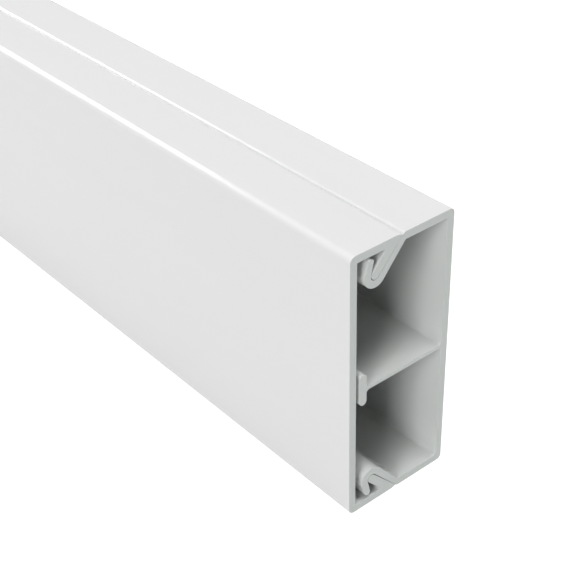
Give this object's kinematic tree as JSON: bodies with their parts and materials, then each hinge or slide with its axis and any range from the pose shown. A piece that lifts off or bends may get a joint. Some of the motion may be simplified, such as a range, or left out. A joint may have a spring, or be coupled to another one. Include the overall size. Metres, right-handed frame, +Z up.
{
  "type": "cord cover raceway",
  "caption": "Slim rectangular wall raceway for cords: an open channel with a divider web and clip hooks, closed by a clip-on cover; both ends open.",
  "frame": {"origin": "middle of the underside, at mid-length and mid-depth", "axes": "+X along the raceway, -Y the cover's front, +Y the wall side, +Z up across the raceway's width"},
  "size_m": [1, 0.017, 0.04],
  "materials": {
    "base_pvc": "semi-gloss extruded white",
    "cover_pvc": "semi-gloss extruded white"
  },
  "bodies": {
    "root": {"base": "base_pvc", "cover": "cover_pvc"}
  },
  "joints": []
}
